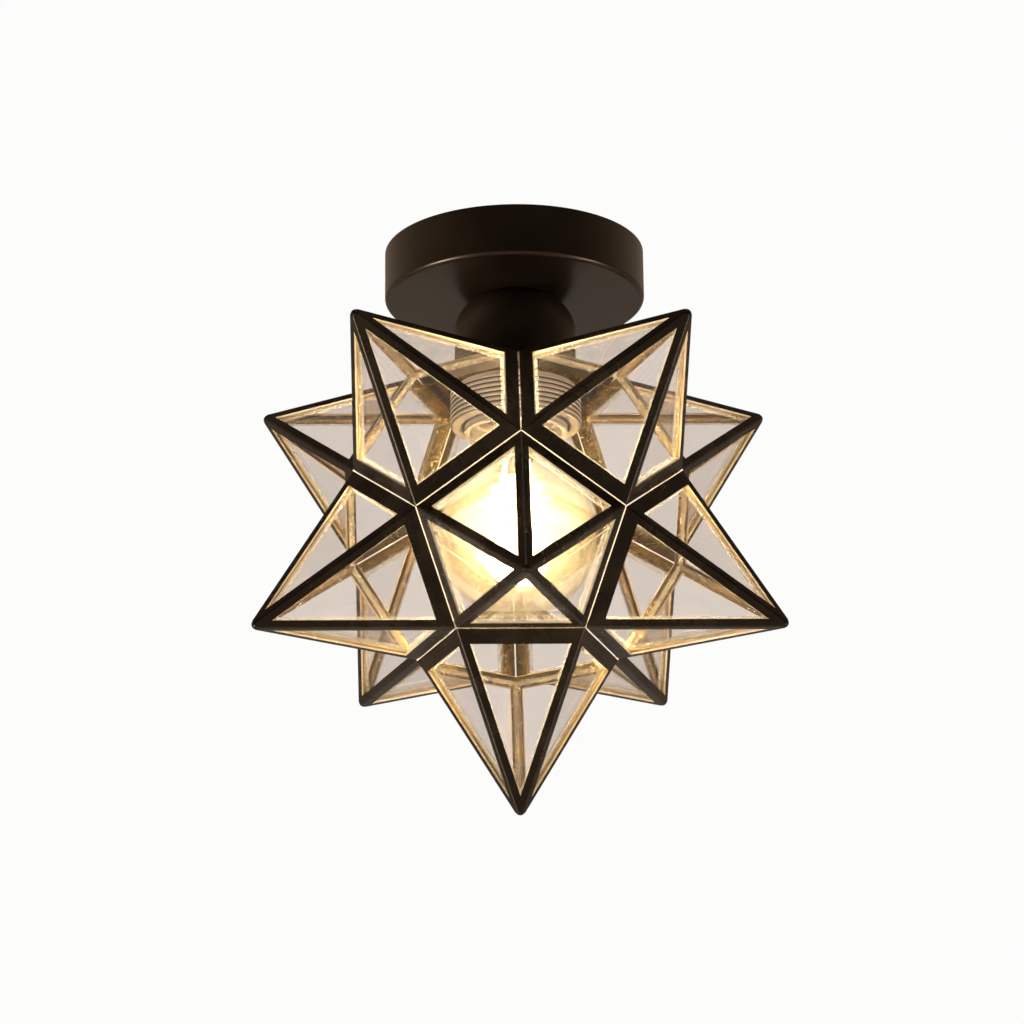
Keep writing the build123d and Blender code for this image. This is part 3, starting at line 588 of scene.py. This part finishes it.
class StarLook(bpy.types.PropertyGroup):
    """Finish of the star's strips and panes."""

    patina: bpy.props.FloatVectorProperty(
        name="Patina", description="Black patina outside", subtype="COLOR", default=(0.008, 0.005, 0.0026)
    )
    patina_worn: bpy.props.FloatVectorProperty(
        name="Worn patina", description="Patina where it is thin", subtype="COLOR",
        default=(0.022, 0.0145, 0.008),
    )
    gold: bpy.props.FloatVectorProperty(
        name="Gold", description="Brushed gold inside", subtype="COLOR", default=(0.13, 0.084, 0.012)
    )
    # Darker gold: aged gold in the grain and stains, and painted shade over the whole top plate.
    aged_gold_and_shade: bpy.props.FloatVectorProperty(
        name="Aged gold", description="Gold in the grain and stains", subtype="COLOR",
        default=(0.03, 0.018, 0.003),
    )
    cut_edge: bpy.props.FloatVectorProperty(
        name="Cut edge", description="Tin on the sheet's cut edges", subtype="COLOR",
        default=(0.82, 0.72, 0.54),
    )
    gold_scratch: bpy.props.FloatVectorProperty(
        name="Scratches", description="Bright scratches in the gold", subtype="COLOR",
        default=(0.85, 0.62, 0.26),
    )
    # Painted glow: emission on the seam faces and the solder, standing in for the bulb's light through the
    # seams.
    painted_seam_glow: bpy.props.FloatVectorProperty(
        name="Seam light", description="Light in the seams between points", subtype="COLOR",
        default=(0.52, 0.44, 0.34),
    )
    silicone: bpy.props.FloatVectorProperty(
        name="Silicone", description="Pale silicone round the panes", subtype="COLOR",
        default=(0.92, 0.9, 0.785),
    )
    silicone_clear: bpy.props.FloatVectorProperty(
        name="Clear silicone", description="Colour that the silicone lets through", subtype="COLOR",
        default=(0.97, 0.95, 0.92),
    )
    pane_tint: bpy.props.FloatVectorProperty(
        name="Pane tint", description="Colour that one face of a pane lets through", subtype="COLOR",
        default=(0.942, 0.912, 0.889),
    )
    pane_haze: bpy.props.FloatProperty(name="Pane haze", description="Faint haze on the panes", default=0.004)
    bead_lip: bpy.props.FloatProperty(
        name="Bead lip", description="Silicone beside the glass's edge", subtype="DISTANCE", unit="LENGTH",
        default=0.4 * MM,
    )
    bead_ridge: bpy.props.FloatProperty(
        name="Bead at ridges", description="Silicone that shows beside a ridge strip", subtype="DISTANCE",
        unit="LENGTH", default=0.55 * MM,
    )
    bead_base: bpy.props.FloatProperty(
        name="Bead at bases", description="Silicone that shows beside a base strip", subtype="DISTANCE",
        unit="LENGTH", default=0.3 * MM,
    )
    bead_height: bpy.props.FloatProperty(
        name="Bead height", description="Silicone over the glass's inner face", subtype="DISTANCE",
        unit="LENGTH", default=0.4 * MM,
    )
    seam_radius: bpy.props.FloatProperty(
        name="Seam radius", description="Radius of the solder in a ridge's corner", subtype="DISTANCE",
        unit="LENGTH", default=1.0 * MM,
    )
    seam_inset: bpy.props.FloatProperty(
        name="Seam inset", description="Depth of the solder's middle under the ridge", subtype="DISTANCE",
        unit="LENGTH", default=2.0 * MM,
    )
    seam_start: bpy.props.FloatProperty(
        name="Seam start", description="Where the solder starts above the base", subtype="DISTANCE",
        unit="LENGTH", default=5.0 * MM,
    )
    seam_stop: bpy.props.FloatProperty(
        name="Seam stop", description="Where the solder stops below the tip", subtype="DISTANCE",
        unit="LENGTH", default=6.0 * MM,
    )


class FixingLook(bpy.types.PropertyGroup):
    """Finish of the canopy, the neck and what they hold."""

    lacquer: bpy.props.FloatVectorProperty(
        name="Lacquer", description="Black-brown lacquer", subtype="COLOR", default=(0.01, 0.0065, 0.0035)
    )
    lacquer_warm: bpy.props.FloatVectorProperty(
        name="Warm lacquer", description="Lacquer where it is thin", subtype="COLOR",
        default=(0.016, 0.0105, 0.006),
    )
    canopy_roughness: bpy.props.FloatProperty(
        name="Canopy roughness", description="How dull the canopy's lacquer is", default=0.26
    )
    neck_roughness: bpy.props.FloatProperty(
        name="Neck roughness", description="How dull the neck's lacquer is", default=0.5
    )


class HolderLook(bpy.types.PropertyGroup):
    """Finish of the lampholder and its ribbed ring."""

    holder_plastic: bpy.props.FloatVectorProperty(
        name="Plastic", description="Cream plastic", subtype="COLOR", default=(0.85, 0.75, 0.6)
    )
    # Painted shade in the grooves between the ribs.
    holder_groove_shade: bpy.props.FloatVectorProperty(
        name="Grooves", description="Plastic in the grooves", subtype="COLOR", default=(0.6, 0.5, 0.37)
    )
    # Painted shade on the plastic's faces toward the bulb.
    holder_painted_shade: bpy.props.FloatVectorProperty(
        name="Browned plastic", description="Plastic that faces the bulb", subtype="COLOR",
        default=(0.1, 0.078, 0.052),
    )
    # Painted glow of the plastic, though it is no lamp.
    holder_painted_glow: bpy.props.FloatProperty(
        name="Glow", description="Bulb's light that the plastic passes on", default=0.24
    )
    rib_pitch: bpy.props.FloatProperty(
        name="Rib pitch", description="Spacing of the ribs", subtype="DISTANCE", unit="LENGTH",
        default=1.9 * MM,
    )


class LampLook(bpy.types.PropertyGroup):
    """The bulb and its light."""

    lamp_colour: bpy.props.FloatVectorProperty(
        name="Light", description="Colour of the bulb's light", subtype="COLOR", default=(1.0, 0.88, 0.64)
    )
    lamp_power: bpy.props.FloatProperty(
        name="Power", description="Power of the bulb's light", subtype="POWER", unit="POWER", default=1.0
    )
    filament_glow: bpy.props.FloatProperty(
        name="Filament", description="Brightness of the filaments", default=4.0
    )
    bulb_tint: bpy.props.FloatVectorProperty(
        name="Bulb tint", description="Colour that one face of the bulb lets through", subtype="COLOR",
        default=(0.98, 0.97, 0.94),
    )
    bulb_veil: bpy.props.FloatVectorProperty(
        name="Bulb veil", description="Colour of the haze over the lit globe", subtype="COLOR",
        default=(1.0, 0.84, 0.5),
    )
    bulb_roughness: bpy.props.FloatProperty(
        name="Bulb roughness", description="How dull the globe's mirrored light is", default=0.14
    )
    bulb_haze: bpy.props.FloatProperty(
        name="Bulb haze", description="Haze of the bulb's glass", default=0.024
    )
    bulb_core: bpy.props.FloatProperty(
        name="Bulb core", description="Haze over the bulb's middle", default=0.13
    )


class StageLook(bpy.types.PropertyGroup):
    """Floor and soft studio light."""

    floor_level: bpy.props.FloatProperty(
        name="Floor", description="Height of the floor", subtype="DISTANCE", unit="LENGTH", default=-1.6
    )
    floor_size: bpy.props.FloatProperty(
        name="Floor size", description="Side of the floor", subtype="DISTANCE", unit="LENGTH", default=12.0
    )
    floor_colour: bpy.props.FloatVectorProperty(
        name="Floor colour", description="Plain pale floor", subtype="COLOR", default=(0.8, 0.69, 0.58)
    )
    floor_lift: bpy.props.FloatVectorProperty(
        name="Floor light", description="Light that the floor adds to the object", subtype="COLOR",
        default=(0.12, 0.108, 0.096),
    )
    floor_seen: bpy.props.FloatVectorProperty(
        name="Seen floor light", description="Light of the floor where the camera sees it", subtype="COLOR",
        default=(0.55, 0.53, 0.5),
    )
    backdrop_colour: bpy.props.FloatVectorProperty(
        name="Backdrop", description="Colour behind the light", subtype="COLOR", default=(0.975, 0.975, 0.968)
    )
    mirror_colour: bpy.props.FloatVectorProperty(
        name="Mirrored colour", description="Colour of the room in shiny surfaces", subtype="COLOR",
        default=(1.0, 0.74, 0.54),
    )
    sky_strength: bpy.props.FloatProperty(name="Room", description="Even light of the room", default=0.3)
    mirror_strength: bpy.props.FloatProperty(
        name="Mirrored room", description="Brightness of the room in shiny surfaces", default=0.35
    )


class STAR_OT_strips(bpy.types.Operator):
    """Patina and gold on the strips, the top plate and the fittings of the opening point"""

    bl_idname = "star.strips"
    bl_label = "Finish the strips"

    def execute(self, context):
        look = context.scene.star_look
        strips = strip_finish("star_strips", look, gold=look.gold, cut_edge=look.cut_edge, glow=1.0)
        wear(strips, *[f"{name}_frame" for name in POINTS])
        # Painted shade: the top plate wears the darker aged gold all over, darkened against the bulb's light
        # on it.
        plate = strip_finish("top_plate", look, gold=look.aged_gold_and_shade, cut_edge=look.aged_gold_and_shade, glow=0.0)
        wear(plate, "star_top_plate")
        wear(solder_finish(look), "solder_joints")
        hinge = metal_finish("aged_hinge", (0.05, 0.035, 0.02), (0.015, 0.011, 0.007), 0.35)
        wear(hinge, "hinge_leaf_fixed", "hinge_leaf_door", "hinge_pin")
        wear(metal_finish("nickel", (0.72, 0.71, 0.68), (0.55, 0.53, 0.5), 0.18), "door_magnet")
        return {"FINISHED"}


class STAR_OT_panes(bpy.types.Operator):
    """Clear glass in every point"""

    bl_idname = "star.panes"
    bl_label = "Finish the panes"

    def execute(self, context):
        look = context.scene.star_look
        glass = glass_finish("pane_glass", look.pane_tint, look.pane_haze, ripple=26.0)
        wear(glass, *[f"{name}_glass" for name in POINTS])
        return {"FINISHED"}


class STAR_OT_beads(bpy.types.Operator):
    """Silicone that holds the panes, and solder in the ridges, from inside"""

    bl_idname = "star.beads"
    bl_label = "Lay the beads and seams"

    def execute(self, context):
        look = context.scene.star_look
        silicone = silicone_finish(look)
        solder = metal_finish("ridge_solder", (0.62, 0.44, 0.12), (0.2, 0.13, 0.03), 0.3)
        for name in POINTS:
            body = "door" if name == "door" else "root"
            bead_piece(name, body, look).data.materials.append(silicone)
            seam_piece(name, body, look).data.materials.append(solder)
        return {"FINISHED"}


class STAR_OT_fixing(bpy.types.Operator):
    """Lacquer, plated steel, wiring and terminals above the star"""

    bl_idname = "star.fixing"
    bl_label = "Finish the ceiling fixing"

    def execute(self, context):
        look = context.scene.fixing_look
        wear(lacquer_finish("canopy_lacquer", look, look.canopy_roughness), "canopy", "canopy_grub_screws")
        wear(lacquer_finish("neck_lacquer", look, look.neck_roughness), "neck")
        zinc = metal_finish("zinc_steel", (0.62, 0.62, 0.6), (0.48, 0.48, 0.47), 0.3)
        wear(zinc, "ceiling_bracket", "earth_screw", "earth_tag", "terminal_screws")
        wear(zinc, "threaded_tube", "lock_nuts", "lock_washer", "door_keeper")
        white = moulded_finish("terminal_plastic", (0.86, 0.86, 0.84), (0.78, 0.78, 0.75), 0.4)
        wear(white, "terminal_block")
        wear(moulded_finish("brown_insulation", (0.22, 0.1, 0.05), (0.17, 0.075, 0.04), 0.35), "live_lead")
        wear(moulded_finish("blue_insulation", (0.06, 0.17, 0.5), (0.045, 0.13, 0.4), 0.35), "neutral_lead")
        wear(moulded_finish("earth_insulation", (0.16, 0.42, 0.06), (0.12, 0.33, 0.05), 0.35), "earth_lead")
        return {"FINISHED"}


class STAR_OT_lampholder(bpy.types.Operator):
    """Moulded lampholder, its brass parts and the ribbed shade ring"""

    bl_idname = "star.lampholder"
    bl_label = "Finish the lampholder"

    def execute(self, context):
        look = context.scene.holder_look
        wear(ribbed_finish(look), "shade_ring", "holder_body")
        shade = dimmed(look.holder_plastic, 0.85)
        wear(moulded_finish("holder_plastic", look.holder_plastic, shade, 0.35), "holder_cap")
        wear(moulded_finish("glazed_ceramic", (0.86, 0.85, 0.82), (0.8, 0.78, 0.74), 0.15), "holder_insert")
        brass = metal_finish("bright_brass", (0.78, 0.58, 0.27), (0.6, 0.43, 0.18), 0.22)
        wear(brass, "holder_terminals", "screw_shell", "centre_contact")
        wear(metal_finish("spring_steel", (0.55, 0.55, 0.56), (0.42, 0.42, 0.43), 0.3), "contact_spring")
        return {"FINISHED"}


class STAR_OT_bulb(bpy.types.Operator):
    """The bulb, lit"""

    bl_idname = "star.bulb"
    bl_label = "Finish and light the bulb"

    def execute(self, context):
        look = context.scene.lamp_look
        blown = glass_finish(
            "bulb_glass",
            look.bulb_tint,
            look.bulb_haze,
            ripple=40.0,
            veil=look.bulb_veil,
            roughness=look.bulb_roughness,
            ridges=0.35,
            core=look.bulb_core,
        )
        wear(blown, "bulb_glass")
        wear(glass_finish("stem_glass", look.bulb_tint, look.bulb_haze, ripple=40.0), "bulb_stem")
        nickel = metal_finish("bulb_cap_metal", (0.8, 0.79, 0.76), (0.62, 0.61, 0.58), 0.2)
        wear(nickel, "bulb_cap", "bulb_tip")
        black = moulded_finish("black_vitrite", (0.02, 0.02, 0.025), (0.03, 0.03, 0.035), 0.12)
        wear(black, "bulb_insulator")
        wear(glow_finish(look), "bulb_filaments")
        wear(metal_finish("support_wire", (0.55, 0.5, 0.42), (0.42, 0.38, 0.3), 0.3), "bulb_support_wires")
        low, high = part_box("bulb_filaments")
        light = bpy.data.lights.new("bulb_light", "POINT")
        light.color = look.lamp_colour
        light.energy = look.lamp_power
        light.shadow_soft_size = BULB_LIGHT_RADIUS
        lamp = bpy.data.objects.new("bulb_light", light)
        lamp.location = (low + high) / 2
        context.scene.collection.objects.link(lamp)
        return {"FINISHED"}


class STAR_OT_stage(bpy.types.Operator):
    """Floor, room, lamps and camera"""

    bl_idname = "star.stage"
    bl_label = "Set the stage"

    def execute(self, context):
        look = context.scene.stage_look
        self.set_camera(context.scene)
        self.set_floor(context.scene, look)
        self.set_room(context.scene, look)
        self.set_lamps(context.scene)
        context.scene.view_settings.view_transform = "Standard"
        context.scene.cycles.transparent_max_bounces = 64
        return {"FINISHED"}

    def set_camera(self, scene):
        yaw, pitch, roll = CAMERA_YAW, CAMERA_PITCH, CAMERA_ROLL
        ahead = Vector((-sin(yaw) * cos(pitch), cos(yaw) * cos(pitch), sin(pitch)))
        right = Vector((cos(yaw), sin(yaw), 0))
        up = right.cross(ahead)
        side = right * cos(roll) + up * sin(roll)
        over = up * cos(roll) - right * sin(roll)
        camera = bpy.data.objects.new("camera", bpy.data.cameras.new("camera"))
        camera.data.lens = CAMERA_LENS
        camera.data.sensor_width = 36.0
        camera.data.clip_start = 0.05
        camera.data.clip_end = 50.0
        turn = Matrix((side, over, -ahead)).transposed().to_4x4()
        camera.matrix_world = Matrix.Translation(CAMERA_PLACE) @ turn
        scene.collection.objects.link(camera)
        scene.camera = camera

    def set_floor(self, scene, look):
        shape = bmesh.new()
        bmesh.ops.create_grid(shape, x_segments=4, y_segments=4, size=look.floor_size / 2)
        shape.transform(Matrix.Translation((0, 0, look.floor_level)))
        mesh = bpy.data.meshes.new("floor")
        shape.to_mesh(mesh)
        shape.free()
        floor = bpy.data.objects.new("floor", mesh)
        finish, place = new_finish("pale_floor")
        clouds = finish.noise(place, scale=3.0, detail=4.0)
        seen = finish.add("ShaderNodeLightPath", out="Is Camera Ray")
        floor.data.materials.append(
            finish.principled(
                Base_Color=finish.blend(clouds, look.floor_colour, dimmed(look.floor_colour, 0.97)),
                Roughness=0.75,
                Emission_Color=finish.blend(seen, look.floor_lift, look.floor_seen),
                Emission_Strength=1.0,
            )
        )
        scene.collection.objects.link(floor)

    def set_room(self, scene, look):
        """Pale backdrop to the camera and through glass, and a warmer, dimmer room in mirrors."""
        world = bpy.data.worlds.new("room")
        scene.world = world
        finish = Finish(world)
        rays = finish.add("ShaderNodeLightPath", out="Is Camera Ray")
        through = Wire(finish, rays.socket.node.outputs["Is Transmission Ray"])
        mirrored = Wire(finish, rays.socket.node.outputs["Is Glossy Ray"])
        seen = rays.math("MAXIMUM", rays, through)
        heading = finish.add("ShaderNodeTexCoord", out="Generated")
        away = finish.along(heading, "Y")
        upwards = finish.along(heading, "Z")
        behind = finish.fade(away, -0.8, 0.6, low=0.05) * finish.fade(upwards, -0.35, 0.25, low=0.4)
        overhead = finish.fade(upwards, 0.55, 0.85, low=1.0, high=0.3)
        shiny = mirrored * behind * overhead * look.mirror_strength
        strength = seen + (1.0 - seen) * (shiny + (1.0 - mirrored) * look.sky_strength)
        colour = finish.blend(mirrored * (1.0 - seen), look.backdrop_colour, look.mirror_colour)
        light = finish.add("ShaderNodeBackground", None, {"Color": colour, "Strength": strength})
        finish.add("ShaderNodeOutputWorld", None, {"Surface": light})

    def set_lamps(self, scene):
        for name, (place, size, power) in STUDIO_LAMPS.items():
            light = bpy.data.lights.new(name, "AREA")
            light.shape = "DISK"
            light.size = size
            light.energy = power
            light.color = STUDIO_COLOUR
            lamp = bpy.data.objects.new(name, light)
            lamp.location = place
            lamp.rotation_euler = (STUDIO_AIM - Vector(place)).to_track_quat("-Z", "Y").to_euler()
            scene.collection.objects.link(lamp)


class STAR_PT_panel(bpy.types.Panel):
    """Lists the light's pieces in the order in which they are made"""

    bl_idname = "STAR_PT_panel"
    bl_label = "Star Ceiling Light"
    bl_space_type = "VIEW_3D"
    bl_region_type = "UI"
    bl_category = "Star Light"

    def draw(self, context):
        for operator in OPERATORS:
            self.layout.operator(operator.bl_idname)
        for group, _ in LOOKS:
            box = self.layout.box()
            looks = getattr(context.scene, group)
            for name in looks.bl_rna.properties.keys():
                if name not in ("rna_type", "name"):
                    box.prop(looks, name)


OPERATORS = (
    STAR_OT_stage,
    STAR_OT_strips,
    STAR_OT_panes,
    STAR_OT_beads,
    STAR_OT_fixing,
    STAR_OT_lampholder,
    STAR_OT_bulb,
)
LOOKS = (
    ("star_look", StarLook),
    ("fixing_look", FixingLook),
    ("holder_look", HolderLook),
    ("lamp_look", LampLook),
    ("stage_look", StageLook),
)


def register():
    for name, group in LOOKS:
        bpy.utils.register_class(group)
        setattr(bpy.types.Scene, name, bpy.props.PointerProperty(type=group))
    for part in (*OPERATORS, STAR_PT_panel):
        bpy.utils.register_class(part)


def unregister():
    for part in reversed((*OPERATORS, STAR_PT_panel)):
        bpy.utils.unregister_class(part)
    for name, group in reversed(LOOKS):
        delattr(bpy.types.Scene, name)
        bpy.utils.unregister_class(group)


def main():
    register()
    for operator in OPERATORS:
        group, name = operator.bl_idname.split(".")
        getattr(getattr(bpy.ops, group), name)()


if __name__ == "__main__":
    main()
